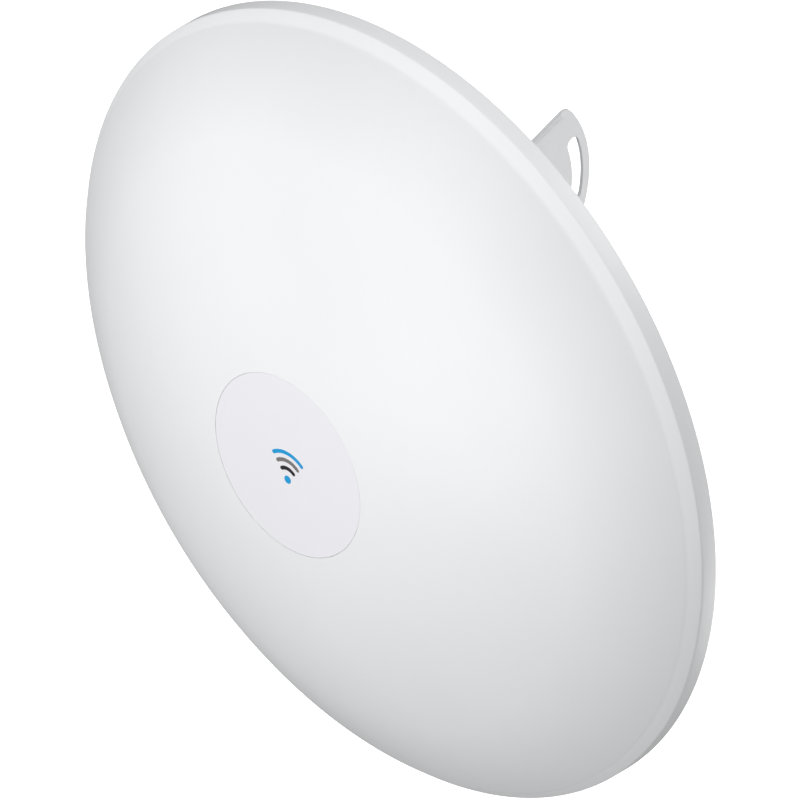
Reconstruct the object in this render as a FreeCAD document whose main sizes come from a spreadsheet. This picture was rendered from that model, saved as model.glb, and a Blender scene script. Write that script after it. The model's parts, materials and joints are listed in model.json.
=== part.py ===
import FreeCAD, Part
import math
import os
import Sketcher

from FreeCAD import Placement, Rotation, Vector

# Outdoor point-to-point wireless bridge: a radome-covered dish antenna with its radio in a hub
# behind it, tilted on a slotted steel plate and clamped to a pole. Millimetres, +Z up.
# The origin is on the pole's axis at the middle of the clamp; the antenna looks along -Y.
# Every sub-part is drawn in the antenna's own axes, whose origin is the centre of the radome's
# back edge, and its Placement carries it to the pole's axes.

SIZES = {
    # How far one feature of a part runs into the next, and a blind hole past its screw.
    "overlap": 0.2,
    "hole_spare": 1,
    # Where the antenna's axes lie, seen from the pole's.
    "antenna_x": 112.3,
    "antenna_y": -150,
    "antenna_z": 3,
    # Radome: a skirt, a chamfer, a spherical dome and a flat disc that the cap fills.
    "rim_radius": 260,
    "skirt_depth": 12,
    "chamfer_depth": 7.7,
    "dome_edge_radius": 253.2,
    "dome_radius": 416,
    "shell_wall": 3,
    "disc_radius": 61.1,
    "cap_radius": 60.9,
    "cap_thick": 1.2,
    "skirt_inner_radius": 257,
    "ledge_radius": 253,
    "ledge_depth": 7,
    # The reflector's rim, its gasket and the ring that snaps in behind it.
    "groove_radius": 258.2,
    "groove_back": 1.9,
    "gasket_thick": 2,
    "gasket_radius": 256.7,
    "gasket_inner_radius": 253.3,
    "rim_flange_radius": 256.5,
    "ring_thick": 1.5,
    "ring_radius": 258,
    "ring_inner_radius": 252,
    "ring_gap": 9,
    # Reflector: a paraboloid of sheet with a flat seat for the hub.
    "dish_radius": 250,
    "dish_depth": 91,
    "dish_sheet": 1.5,
    "seat_radius": 72,
    "seat_opening": 22,
    # Hub housing, the radio's cast shell.
    "hub_radius": 68,
    "hub_wall": 3,
    "hub_back": 112,
    "hub_back_wall": 3.5,
    "hub_gasket_thick": 1,
    "hub_gasket_inset": 0.3,
    "hub_edge_round": 4,
    "rib_count": 16,
    "rib_first_angle": -62,
    "rib_last_angle": 242,
    "rib_width": 2,
    "rib_height": 2.5,
    "rib_front": 84,
    "rib_back": 107,
    "screw_circle": 59,
    "screw_count": 6,
    "screw_first_angle": 0,
    "screw_boss": 5,
    "small_screw": 2,
    "small_hole": 2.05,
    "screw_clear": 2.2,
    "screw_head": 3.5,
    "screw_head_thick": 2.5,
    "socket_width": 0.7,
    "socket_floor": 0.4,
    "hub_screw_tip": 97,
    "socket_depth": 1.5,
    # Port bay, the box under the hub that the cable enters, and the window between the two.
    "bay_half": 22,
    "bay_wall": 3,
    "bay_front": 84,
    "bay_back": 110,
    "bay_top": -60,
    "bay_bottom": -80,
    "bay_saddle": 68.1,
    "window_top": -46,
    # Radio board, held on four posts.
    "board_radius": 52,
    "board_front": 90,
    "board_thick": 1.6,
    "tongue_half": 17,
    "tongue_end": -74,
    "tongue_start": -48,
    "post_distance": 44,
    "post_radius": 3,
    "board_screw": 1.5,
    "board_screw_hole": 1.55,
    "board_clear": 1.6,
    "board_screw_head": 2.75,
    "board_screw_tip": 98,
    "shield_half": 26,
    "shield_height": 4,
    "shield_sheet": 0.6,
    "pad_half": 20,
    "pad_thick": 1.5,
    "spreader_half": 27,
    "spreader_plate": 4,
    # Feed, on the antenna's axis.
    "flange_thick": 3,
    "flange_edge": 63,
    "collar_radius": 20,
    "collar_front": 60,
    "tube_radius": 12,
    "tube_bore": 9.5,
    "tube_front": -62,
    "tube_back": 88,
    "feed_fit": 0.1,
    "launcher_radius": 18,
    "launcher_front": 82,
    "cone_radius": 28,
    "cone_front": -80,
    "plug_back": -40,
    "sub_radius": 30,
    "sub_inner_radius": 29,
    "sub_thick": 2.5,
    "sub_rim": 3,
    "pad_puck_radius": 20,
    # Socket, switch and lights in the bay.
    "jack_half": 8,
    "jack_depth": 13.5,
    "jack_top": -53,
    "jack_mouth": -74,
    "jack_cavity_half": 6,
    "jack_cavity_low": 2,
    "jack_cavity_deep": 11,
    "jack_cavity_top": -61,
    "light_pitch": 6,
    "light_count": 4,
    "light_z": -73,
    "light_radius": 1.5,
    "light_hole": 1.55,
    "light_front": 105.6,
    "light_back": 110.6,
    "button_y": 98,
    "button_z": -71,
    "button_radius": 2.4,
    "button_hole": 2.8,
    "button_outer": 22.8,
    "button_flange_radius": 3.4,
    "button_flange_thick": 1,
    "button_inner": 17.6,
    "switch_face": 16.6,
    "switch_back": 12.5,
    "switch_half": 2.6,
    "switch_end": 101,
    "vent_radius": 5,
    "vent_recess": 5.1,
    "vent_hole": 2,
    "vent_thick": 0.6,
    "ground_z": 57,
    "ground_head": 4,
    "ground_head_thick": 3,
    "ground_tip": 101,
    # Port door on its hinge pin.
    "door_gap": 0.3,
    "door_thick": 2.2,
    "door_half": 21,
    "door_front": 85,
    "door_back": 109,
    "pin_y": 113,
    "pin_z": -80,
    "pin_radius": 1,
    "pin_fit": 0.05,
    "barrel_radius": 2.5,
    "barrel_half": 14.7,
    "lug_inner": 15,
    "lug_outer": 21,
    "cable_y": 94,
    "cable_hole": 6,
    "grommet_radius": 5.9,
    "grommet_lip": 7.6,
    "grommet_lip_thick": 1.2,
    "grommet_bore": 3.2,
    # Elevation plate: a base flange bolted to the hub, bent back into the slotted fan.
    "plate_sheet": 2.3,
    "plate_face": -60,
    "base_right": 50,
    "base_low": -49,
    "base_opening": 20,
    "base_corner": 12,
    "bracket_bolt_half": 36,
    "bracket_bolt": 3,
    "bracket_hole": 3.3,
    "bracket_boss": 7,
    "bracket_boss_front": 98,
    "bracket_bolt_tip": 100,
    "bracket_thread": 3.05,
    "bracket_flat": 10,
    "bracket_head_thick": 4,
    "bracket_washer": 6.2,
    "bracket_washer_thick": 1.2,
    "pivot_y": 138.5,
    "pivot_z": 31.2,
    "fan_radius": 80.3,
    "fan_low_angle": -95,
    "top_slope": 20.7,
    "top_offset": 27.4,
    "fan_corner": 7,
    "slot_radius": 70,
    "slot_half": 4.75,
    "slot_first": -12,
    "slot_last": 19.3,
    "lock_slot_first": -80.65,
    "lock_slot_last": -49.35,
    "lock_angle": -65,
    "hem_width": 4,
    "hem_height": 4.2,
    "hem_start": -6,
    "hem_end": 69,
    "hem_round": 1.5,
    # Pole bracket and clamp jaw.
    "bush_gap": 0.1,
    "bush_length": 11.9,
    "bush_radius": 8,
    "web_face": -74.3,
    "web_sheet": 3,
    "web_front": 108,
    "web_back": 192,
    "jaw_half_height": 44.5,
    "jaw_sheet": 2.5,
    "jaw_reach": 20.7,
    "jaw_taper": 14,
    "pole_radius": 25,
    "tilt_bolt": 4,
    "pivot_fit": 0.05,
    "web_hole": 4.5,
    "tilt_bolt_end": -88,
    "tilt_washer": 7.5,
    "tilt_washer_thick": 1.6,
    "tilt_flat": 13,
    "tilt_head_thick": 5.3,
    "tilt_nut_thick": 6.5,
    "carriage_half": 33,
    "carriage_radius": 4,
    "carriage_hole": 4.5,
    "carriage_head": 9,
    "carriage_head_thick": 3.3,
    "carriage_round": 2.8,
    "carriage_end": -184.3,
}


class Size:
    """A length or angle that carries its value and the expression that binds it to the sheet."""

    def __init__(self, value, text):
        self.value = value
        self.text = text

    def __add__(self, other):
        return joined(self, "+", other, self.value + valued(other))

    def __radd__(self, other):
        return joined(other, "+", self, valued(other) + self.value)

    def __sub__(self, other):
        return joined(self, "-", other, self.value - valued(other))

    def __rsub__(self, other):
        return joined(other, "-", self, valued(other) - self.value)

    def __mul__(self, other):
        return joined(self, "*", other, self.value * valued(other))

    def __rmul__(self, other):
        return joined(other, "*", self, valued(other) * self.value)

    def __truediv__(self, other):
        return joined(self, "/", other, self.value / valued(other))

    def __neg__(self):
        return Size(-self.value, f"(0 - {self.text})")


def valued(quantity):
    return quantity.value if isinstance(quantity, Size) else float(quantity)


def worded(quantity):
    return quantity.text if isinstance(quantity, Size) else repr(quantity)


def joined(first, sign, second, value):
    return Size(value, f"({worded(first)} {sign} {worded(second)})")


def root(quantity):
    return Size(math.sqrt(quantity.value), f"sqrt({quantity.text})")


def cosine(angle):
    return Size(math.cos(math.radians(angle.value)), f"cos({angle.text})")


def sine(angle):
    return Size(math.sin(math.radians(angle.value)), f"sin({angle.text})")


def size(name):
    return Size(SIZES[name], f"Sheet.{name}")


doc = FreeCAD.newDocument("wireless_bridge")
sheet = doc.addObject("Spreadsheet::Sheet", "Sheet")
for row, (alias, number) in enumerate(SIZES.items(), 1):
    sheet.set(f"A{row}", alias)
    sheet.set(f"B{row}", str(number))
    sheet.setAlias(f"B{row}", alias)
doc.recompute()

parts = []

# ---------------------------------------------------------------- drawing helpers

TOLERANCE = 0.01
# Edges through a sheet's thickness are shorter than the first; its long edges are longer than the other.
SHORT_EDGE = 3
LONG_EDGE = 30

# For each axis: the body's plane square to it, and which way that plane's normal points.
PLANES = {"x": ("YZ_Plane", 1), "y": ("XZ_Plane", -1), "z": ("XY_Plane", 1)}


def origin_feature(body, role):
    return next(item for item in body.Origin.OriginFeatures if item.Role == role)


def new_part(label):
    """A body in the antenna's axes, named after its node."""
    body = doc.addObject("PartDesign::Body", label)
    body.Label = label
    body.setExpression("Placement.Base.x", "Sheet.antenna_x")
    body.setExpression("Placement.Base.y", "Sheet.antenna_y")
    body.setExpression("Placement.Base.z", "Sheet.antenna_z")
    parts.append(body)
    return body


def bind(sketch, kind, place, quantity):
    """Add a dimension to a sketch and bind it to the sheet."""
    constraint = sketch.addConstraint(Sketcher.Constraint(kind, *place, valued(quantity)))
    if isinstance(quantity, Size):
        sketch.setExpression(f"Constraints[{constraint}]", quantity.text)


def new_sketch(body, role, offset=None):
    sketch = body.newObject("Sketcher::SketchObject", "Sketch")
    sketch.AttachmentSupport = [(origin_feature(body, role), "")]
    sketch.MapMode = "FlatFace"
    if offset is not None:
        sketch.AttachmentOffset = Placement(Vector(0, 0, offset.value), Rotation())
        sketch.setExpression("AttachmentOffset.Base.z", offset.text)
    return sketch


def arc_between(start, end, radius, side):
    """The short arc from start to end; its centre is on the left if side is 1, else on the right."""
    chord = end - start
    middle = (start + end) * 0.5
    rise = math.sqrt(radius**2 - (chord.Length / 2) ** 2)
    left = Vector(-chord.y, chord.x, 0).normalize()
    centre = middle + left * (rise * side)
    first, last = (start, end) if side > 0 else (end, start)
    low = math.atan2(first.y - centre.y, first.x - centre.x)
    high = math.atan2(last.y - centre.y, last.x - centre.x)
    if high < low:
        high += 2 * math.pi
    return Part.ArcOfCircle(Part.Circle(centre, Vector(0, 0, 1), radius), low, high)


def draw_outline(sketch, corners):
    """A closed outline. A corner is (x, y), or (x, y, radius, side) if an arc leaves it."""
    points = [Vector(valued(corner[0]), valued(corner[1]), 0) for corner in corners]
    sides = []
    for index, corner in enumerate(corners):
        start = points[index]
        end = points[(index + 1) % len(points)]
        if len(corner) == 4:
            number = sketch.addGeometry(arc_between(start, end, valued(corner[2]), corner[3]))
            bind(sketch, "Radius", (number,), corner[2])
            ends = (1, 2) if corner[3] > 0 else (2, 1)
        else:
            number = sketch.addGeometry(Part.LineSegment(start, end))
            ends = (1, 2)
        sides.append((number, ends))
    for index, (number, ends) in enumerate(sides):
        following, following_ends = sides[(index + 1) % len(sides)]
        sketch.addConstraint(
            Sketcher.Constraint("Coincident", number, ends[1], following, following_ends[0])
        )
        bind(sketch, "DistanceX", (number, ends[0]), corners[index][0])
        bind(sketch, "DistanceY", (number, ends[0]), corners[index][1])


def draw_circle(sketch, across, up, radius):
    centre = Vector(valued(across), valued(up), 0)
    number = sketch.addGeometry(Part.Circle(centre, Vector(0, 0, 1), valued(radius)))
    bind(sketch, "Radius", (number,), radius)
    bind(sketch, "DistanceX", (number, 3), across)
    bind(sketch, "DistanceY", (number, 3), up)


def box_corners(left, low, right, high):
    return [(left, low), (right, low), (right, high), (left, high)]


def hexagon(across, up, flat):
    """Corners of a hexagon with flats below and above, from its distance across flats."""
    half = flat / 2
    side = flat / math.sqrt(3)
    return [
        (across - side, up + 0.0),
        (across - side / 2, up - half),
        (across + side / 2, up - half),
        (across + side, up + 0.0),
        (across + side / 2, up + half),
        (across - side / 2, up + half),
    ]


def ring_places(circle, count, first_angle):
    """The places of the given number of holes on a circle."""
    step = Size(360.0, "360") / count
    places = []
    for index in range(int(count.value)):
        angle = first_angle + step * index
        places.append((circle * cosine(angle), circle * sine(angle)))
    return places


def slab(body, axis, low, high, outlines=(), circles=(), cut=False):
    """Extrude outlines and circles square to an axis between two heights, or cut with them."""
    role, way = PLANES[axis]
    sketch = new_sketch(body, role, low + 0.0 if way > 0 else -high)
    for corners in outlines:
        draw_outline(sketch, corners)
    for circle in circles:
        draw_circle(sketch, *circle)
    feature = body.newObject("PartDesign::Pocket" if cut else "PartDesign::Pad", "Slab")
    feature.Profile = sketch
    feature.Reversed = cut
    feature.setExpression("Length", (high - low).text)
    doc.recompute()
    return feature


def turned(body, corners, cut=False):
    """Turn an outline, given as (radius, y), about the antenna's axis."""
    sketch = new_sketch(body, "XY_Plane")
    draw_outline(sketch, corners)
    feature = body.newObject("PartDesign::Groove" if cut else "PartDesign::Revolution", "Turned")
    feature.Profile = sketch
    feature.ReferenceAxis = (origin_feature(body, "Y_Axis"), [""])
    feature.Angle = 360
    doc.recompute()
    return feature


def reaches(place, target):
    return abs(place - target.value) < TOLERANCE


def round_edges(body, radius, chosen):
    """Round the edges of the body for which the test holds."""
    base = body.Tip
    names = [f"Edge{number}" for number, edge in enumerate(base.Shape.Edges, 1) if chosen(edge)]
    fillet = body.newObject("PartDesign::Fillet", "Rounded")
    fillet.Base = (base, names)
    fillet.setExpression("Radius", radius.text)
    doc.recompute()


def rings(label, tubes):
    """A part of stepped rings on the antenna's axis: (inner radius, outer radius, front, back)."""
    body = new_part(label)
    for inner, outer, front, back in tubes:
        turned(body, [(inner, front), (outer, front), (outer, back), (inner, back)])
    return body


# ---------------------------------------------------------------- dimensions that several parts share

ZERO = Size(0.0, "0")
DISH_ARCS = 3
OVERLAP = size("overlap")
dome_centre = root(
    size("dome_radius") * size("dome_radius") - size("dome_edge_radius") * size("dome_edge_radius")
) - (size("skirt_depth") + size("chamfer_depth"))


def dome_y(radius, distance):
    """How far along Y a sphere about the dome's centre lies at a distance from the axis."""
    return dome_centre - root(radius * radius - distance * distance)


disc_y = dome_y(size("dome_radius"), size("disc_radius"))
cap_back = disc_y + size("cap_thick")
shell_back = cap_back + size("shell_wall")
flange_front = -(size("ledge_depth") - size("gasket_thick"))
flange_back = flange_front + size("dish_sheet")
seat_front = flange_front + size("dish_depth") * (
    1 - size("seat_radius") * size("seat_radius") / (size("dish_radius") * size("dish_radius"))
)
seat_back = seat_front + size("dish_sheet")
hub_front = seat_back + size("hub_gasket_thick")
hub_floor = size("hub_back") - size("hub_back_wall")
board_back = size("board_front") + size("board_thick")
bay_inner = size("bay_half") - size("bay_wall")
bay_front_inner = size("bay_front") + size("bay_wall")
bay_back_inner = size("bay_back") - size("bay_wall")
base_back = size("hub_back") + size("plate_sheet")
plate_hidden_face = size("plate_face") - size("plate_sheet")
web_far = size("web_face") - size("web_sheet")
clamp_z = -size("antenna_z")
pole_y = -size("antenna_y")
pole_x = -size("antenna_x")
hub_screw_places = ring_places(size("screw_circle"), size("screw_count"), size("screw_first_angle"))
post_places = ring_places(size("post_distance"), Size(4.0, "4"), ZERO)
bracket_places = [
    (size("bracket_bolt_half") * across, size("bracket_bolt_half") * up)
    for across in (-1, 1)
    for up in (-1, 1)
]
lock_y = size("pivot_y") + size("slot_radius") * cosine(size("lock_angle"))
lock_z = size("pivot_z") + size("slot_radius") * sine(size("lock_angle"))
tilt_places = [(size("pivot_y"), size("pivot_z")), (lock_y, lock_z)]
carriage_places = [(pole_y + size("carriage_half") * side, clamp_z + 0.0) for side in (-1, 1)]


# ---------------------------------------------------------------- radome and reflector


def build_radome_shell():
    body = new_part("radome_shell")
    inner_radius = size("dome_radius") - size("shell_wall")
    inner_depth = dome_centre - shell_back
    inner_flat = root(inner_radius * inner_radius - inner_depth * inner_depth)
    turned(
        body,
        [
            (ZERO, cap_back),
            (size("disc_radius"), cap_back),
            (size("disc_radius"), disc_y, size("dome_radius"), 1),
            (size("dome_edge_radius"), -(size("skirt_depth") + size("chamfer_depth"))),
            (size("rim_radius"), -size("skirt_depth")),
            (size("rim_radius"), ZERO),
            (size("skirt_inner_radius"), ZERO),
            (size("skirt_inner_radius"), -size("groove_back")),
            (size("groove_radius"), -size("groove_back")),
            (size("groove_radius"), flange_back),
            (size("skirt_inner_radius"), flange_back),
            (size("skirt_inner_radius"), -size("ledge_depth")),
            (size("ledge_radius"), -size("ledge_depth")),
            (size("ledge_radius"), dome_y(inner_radius, size("ledge_radius")), inner_radius, -1),
            (inner_flat, shell_back),
            (ZERO, shell_back),
        ],
    )


def build_retaining_ring():
    """A spring ring with a gap at the bottom, snapped into the radome's groove."""
    ring_back = flange_back + size("ring_thick")
    body = rings(
        "retaining_ring",
        [(size("ring_inner_radius"), size("ring_radius"), flange_back, ring_back)],
    )
    half_gap = size("ring_gap") / 2
    gap = box_corners(-half_gap, -size("rim_radius"), half_gap, -size("dish_radius"))
    slab(body, "y", flange_back, ring_back, outlines=[gap], cut=True)


def dish_curve(shift, side):
    """The reflector's parabola between seat and rim, as arcs of its own curvature.

    Returns the corners from the seat outwards if side is -1, or from the rim inwards if it is 1.
    """
    focal = size("dish_radius") * size("dish_radius") / (size("dish_depth") * 4)
    vertex = flange_front + size("dish_depth") + shift
    step = (size("dish_radius") - size("seat_radius")) / DISH_ARCS
    stations = [size("seat_radius") + step * index for index in range(DISH_ARCS + 1)]
    if side > 0:
        stations.reverse()
    corners = []
    for near, far in zip(stations, stations[1:]):
        slope = (near + far) / (focal * 4)
        bend = 1 + slope * slope
        curvature_radius = focal * 2 * bend * root(bend)
        corners.append((near, vertex - near * near / (focal * 4), curvature_radius, side))
    corners.append((stations[-1], vertex - stations[-1] * stations[-1] / (focal * 4)))
    return corners


def build_reflector_dish():
    body = new_part("reflector_dish")
    turned(
        body,
        [
            (size("seat_opening"), seat_front),
            *dish_curve(ZERO, -1),
            (size("rim_flange_radius"), flange_front),
            (size("rim_flange_radius"), flange_back),
            *dish_curve(size("dish_sheet"), 1),
            (size("seat_opening"), seat_back),
        ],
    )
    holes = [(across, up, size("screw_clear")) for across, up in hub_screw_places]
    slab(body, "y", seat_front, seat_back, circles=holes, cut=True)


def build_radome_group():
    build_radome_shell()
    rings("centre_cap", [(ZERO, size("cap_radius"), disc_y, cap_back)])
    gasket_front = -size("ledge_depth")
    rings(
        "rim_gasket",
        [(size("gasket_inner_radius"), size("gasket_radius"), gasket_front, flange_front)],
    )
    build_retaining_ring()
    build_reflector_dish()


# ---------------------------------------------------------------- hub


def build_hub_housing():
    body = new_part("hub_housing")
    hub_inner = size("hub_radius") - size("hub_wall")
    turned(
        body,
        [
            (hub_inner, hub_front),
            (size("hub_radius"), hub_front),
            (size("hub_radius"), size("hub_back")),
            (ZERO, size("hub_back")),
            (ZERO, hub_floor),
            (hub_inner, hub_floor),
        ],
    )
    back = size("hub_back")
    round_edges(
        body,
        size("hub_edge_round"),
        lambda edge: edge.Length > LONG_EDGE and reaches(edge.BoundBox.YMin, back),
    )
    add_hub_ribs(body)
    cut_port_window(body)
    add_hub_bosses(body)


def rib_outline(angle):
    """A rib's outline at an angle about the axis, from inside the hub's wall to its outer end."""
    inner = size("hub_radius") - size("hub_wall") / 2
    outer = size("hub_radius") + size("rib_height")
    half = size("rib_width") / 2
    across = cosine(angle)
    up = sine(angle)
    ends = ((inner, half), (inner, -half), (outer, -half), (outer, half))
    return [(out * across - aside * up, out * up + aside * across) for out, aside in ends]


def add_hub_ribs(body):
    """Cooling ribs round the hub, except where the port bay stands."""
    first = size("rib_first_angle")
    step = (size("rib_last_angle") - first) / (size("rib_count") - 1)
    outlines = [rib_outline(first + step * index) for index in range(SIZES["rib_count"])]
    slab(body, "y", size("rib_front"), size("rib_back"), outlines=outlines)


def cut_port_window(body):
    """The window in the hub's wall that the board's tongue and the socket pass through."""
    window = box_corners(-bay_inner, size("bay_bottom"), bay_inner, size("window_top"))
    slab(body, "y", bay_front_inner, bay_back_inner, outlines=[window], cut=True)


def add_hub_bosses(body):
    """Bosses for the hub's screws, the board's posts, the bracket's bolts and the ground screw."""
    screw_bosses = [(across, up, size("screw_boss")) for across, up in hub_screw_places]
    slab(body, "y", hub_front + OVERLAP, hub_floor + OVERLAP, circles=screw_bosses)
    posts = [(across, up, size("post_radius")) for across, up in post_places]
    slab(body, "y", board_back, hub_floor + OVERLAP, circles=posts)
    bracket_bosses = [(across, up, size("bracket_boss")) for across, up in bracket_places]
    bracket_bosses.append((ZERO, size("ground_z"), size("screw_boss")))
    slab(body, "y", size("bracket_boss_front"), hub_floor + OVERLAP, circles=bracket_bosses)
    screw_holes = [(across, up, size("small_hole")) for across, up in hub_screw_places]
    slab(body, "y", hub_front, size("hub_screw_tip") + size("hole_spare"), circles=screw_holes, cut=True)
    post_holes = [(across, up, size("board_screw_hole")) for across, up in post_places]
    post_hole_end = size("board_screw_tip") + size("hole_spare")
    slab(body, "y", board_back, post_hole_end, circles=post_holes, cut=True)
    thread_holes = [(across, up, size("bracket_thread")) for across, up in bracket_places]
    thread_holes.append((ZERO, size("ground_z"), size("small_hole")))
    thread_end = size("bracket_bolt_tip") - size("hole_spare")
    slab(body, "y", thread_end, size("hub_back"), circles=thread_holes, cut=True)


# ---------------------------------------------------------------- port bay


def light_places():
    """The middles of the row of lights, evenly spaced about the bay's centre line."""
    count = SIZES["light_count"]
    return [
        (size("light_pitch") * (index - (count - 1) / 2), size("light_z")) for index in range(count)
    ]


def add_door_lugs(body):
    """Two lugs at the bay's bottom back edge, bored for the door's hinge pin."""
    barrel = size("barrel_radius")
    pin_y = size("pin_y")
    pin_z = size("pin_z")
    lug_root = size("bay_back") - OVERLAP
    lug = [
        (lug_root, pin_z),
        (pin_y, pin_z - barrel, barrel, 1),
        (pin_y + barrel, pin_z, barrel, 1),
        (pin_y, pin_z + barrel),
        (lug_root, pin_z + barrel * 2),
    ]
    for low, high in (
        (-size("lug_outer"), -size("lug_inner")),
        (size("lug_inner"), size("lug_outer")),
    ):
        slab(body, "x", low, high, outlines=[lug])
    pin_hole = (pin_y, pin_z, size("pin_radius") + size("pin_fit"))
    slab(body, "x", -size("lug_outer"), size("lug_outer"), circles=[pin_hole], cut=True)


def cut_bay_openings(body):
    """Holes for the lights at the back, the reset button on the right and the vent on the left."""
    lights = [(across, up, size("light_hole")) for across, up in light_places()]
    slab(body, "y", bay_back_inner, size("bay_back"), circles=lights, cut=True)
    place = (size("button_y"), size("button_z"))
    slab(body, "x", bay_inner, size("bay_half"), circles=[(*place, size("button_hole"))], cut=True)
    recess_floor = -size("bay_half") + size("vent_thick")
    recess = (*place, size("vent_recess"))
    slab(body, "x", -size("bay_half"), recess_floor, circles=[recess], cut=True)
    slab(body, "x", recess_floor, -bay_inner, circles=[(*place, size("vent_hole"))], cut=True)


def build_port_bay():
    """A bottomless box bonded to the hub, its top hollowed to the hub's round wall."""
    body = new_part("port_bay")
    half = size("bay_half")
    outer = box_corners(-half, size("bay_bottom"), half, size("bay_top"))
    slab(body, "y", size("bay_front"), size("bay_back"), outlines=[outer])
    inner = box_corners(-bay_inner, size("bay_bottom"), bay_inner, size("bay_top"))
    slab(body, "y", bay_front_inner, bay_back_inner, outlines=[inner], cut=True)
    saddle = (ZERO, ZERO, size("bay_saddle"))
    slab(body, "y", size("bay_front"), size("bay_back"), circles=[saddle], cut=True)
    add_door_lugs(body)
    cut_bay_openings(body)


def build_hub_gasket():
    inset = size("hub_gasket_inset")
    outer = size("hub_radius") - inset
    inner = size("hub_radius") - size("hub_wall") + inset
    rings("hub_gasket", [(inner, outer, seat_back, hub_front)])


def build_socket_screws(label, places, shank, head, head_thick, head_back, tip):
    """Round-headed screws that point backwards, with a socket in each head."""
    body = new_part(label)
    shanks = [(across, up, shank) for across, up in places]
    heads = [(across, up, head) for across, up in places]
    sockets = [(across, up, shank * size("socket_width")) for across, up in places]
    slab(body, "y", head_back - OVERLAP, tip, circles=shanks)
    slab(body, "y", head_back - head_thick, head_back, circles=heads)
    socket_floor = head_back - head_thick * size("socket_floor")
    slab(body, "y", head_back - head_thick, socket_floor, circles=sockets, cut=True)


def build_ground_screw():
    body = new_part("ground_screw")
    place = (ZERO, size("ground_z"))
    head_back = size("hub_back") + size("ground_head_thick")
    slab(body, "y", size("ground_tip"), size("hub_back") + OVERLAP, circles=[(*place, size("small_screw"))])
    slab(body, "y", size("hub_back"), head_back, circles=[(*place, size("ground_head"))])
    drive = hexagon(*place, size("ground_head"))
    slab(body, "y", size("hub_back") + size("socket_depth"), head_back, outlines=[drive], cut=True)


def build_hub_group():
    build_hub_housing()
    build_hub_gasket()
    build_socket_screws(
        "hub_screws",
        hub_screw_places,
        size("small_screw"),
        size("screw_head"),
        size("screw_head_thick"),
        seat_front - size("flange_thick"),
        size("hub_screw_tip"),
    )
    build_ground_screw()


# ---------------------------------------------------------------- radio


def build_radio_board():
    body = new_part("radio_board")
    slab(body, "y", size("board_front"), board_back, circles=[(ZERO, ZERO, size("board_radius"))])
    tongue = box_corners(
        -size("tongue_half"), size("tongue_end"), size("tongue_half"), size("tongue_start")
    )
    slab(body, "y", size("board_front"), board_back, outlines=[tongue])
    holes = [(across, up, size("board_clear")) for across, up in post_places]
    slab(body, "y", size("board_front"), board_back, circles=holes, cut=True)


def build_rf_shield():
    body = new_part("rf_shield")
    half = size("shield_half")
    inner = half - size("shield_sheet")
    shield_back = board_back + size("shield_height")
    slab(body, "y", board_back, shield_back, outlines=[box_corners(-half, -half, half, half)])
    slab(
        body,
        "y",
        board_back,
        shield_back - size("shield_sheet"),
        outlines=[box_corners(-inner, -inner, inner, inner)],
        cut=True,
    )


def build_heat_path():
    """The pad on the shield, and the aluminium block that carries the heat to the hub's back."""
    pad_front = board_back + size("shield_height")
    pad_back = pad_front + size("pad_thick")
    half = size("pad_half")
    pad = new_part("thermal_pad")
    slab(pad, "y", pad_front, pad_back, outlines=[box_corners(-half, -half, half, half)])
    spreader = new_part("heat_spreader")
    wide = size("spreader_half")
    slab(spreader, "y", pad_back, hub_floor, outlines=[box_corners(-half, -half, half, half)])
    slab(
        spreader,
        "y",
        hub_floor - size("spreader_plate"),
        hub_floor,
        outlines=[box_corners(-wide, -wide, wide, wide)],
    )


def build_rj45_jack():
    body = new_part("rj45_jack")
    half = size("jack_half")
    jack_back = board_back + size("jack_depth")
    shell = box_corners(-half, size("jack_mouth"), half, size("jack_top"))
    slab(body, "y", board_back, jack_back, outlines=[shell])
    cavity_half = size("jack_cavity_half")
    cavity = box_corners(-cavity_half, size("jack_mouth"), cavity_half, size("jack_cavity_top"))
    low = board_back + size("jack_cavity_low")
    slab(body, "y", low, board_back + size("jack_cavity_deep"), outlines=[cavity], cut=True)


def build_reset_switch():
    body = new_part("reset_switch")
    half = size("switch_half")
    block = box_corners(
        size("switch_back"), size("button_z") - half, size("switch_face"), size("button_z") + half
    )
    slab(body, "y", board_back, size("switch_end"), outlines=[block])


def build_radio_group():
    build_radio_board()
    build_socket_screws(
        "board_screws",
        post_places,
        size("board_screw"),
        size("board_screw_head"),
        size("socket_depth"),
        size("board_front"),
        size("board_screw_tip"),
    )
    build_rf_shield()
    build_heat_path()
    build_rj45_jack()
    build_reset_switch()
    lights = new_part("led_light_pipes")
    pipes = [(across, up, size("light_radius")) for across, up in light_places()]
    slab(lights, "y", size("light_front"), size("light_back"), circles=pipes)
    vent = new_part("vent_membrane")
    disc = (size("button_y"), size("button_z"), size("vent_radius"))
    bay_left = -size("bay_half")
    slab(vent, "x", bay_left, bay_left + size("vent_thick"), circles=[disc])


# ---------------------------------------------------------------- feed


def build_feed_flange():
    body = rings(
        "feed_flange",
        [
            (
                size("tube_radius") + size("feed_fit"),
                size("flange_edge"),
                seat_front - size("flange_thick"),
                seat_front,
            ),
            (
                size("tube_radius") + size("feed_fit"),
                size("collar_radius"),
                size("collar_front"),
                seat_front,
            ),
        ],
    )
    holes = [(across, up, size("screw_clear")) for across, up in hub_screw_places]
    slab(body, "y", seat_front - size("flange_thick"), seat_front, circles=holes, cut=True)


def build_waveguide_launcher():
    fit = size("feed_fit")
    rings(
        "waveguide_launcher",
        [
            (size("tube_radius") + fit, size("launcher_radius"), size("launcher_front"), size("tube_back")),
            (size("tube_bore"), size("launcher_radius"), size("tube_back"), size("board_front")),
        ],
    )


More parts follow.
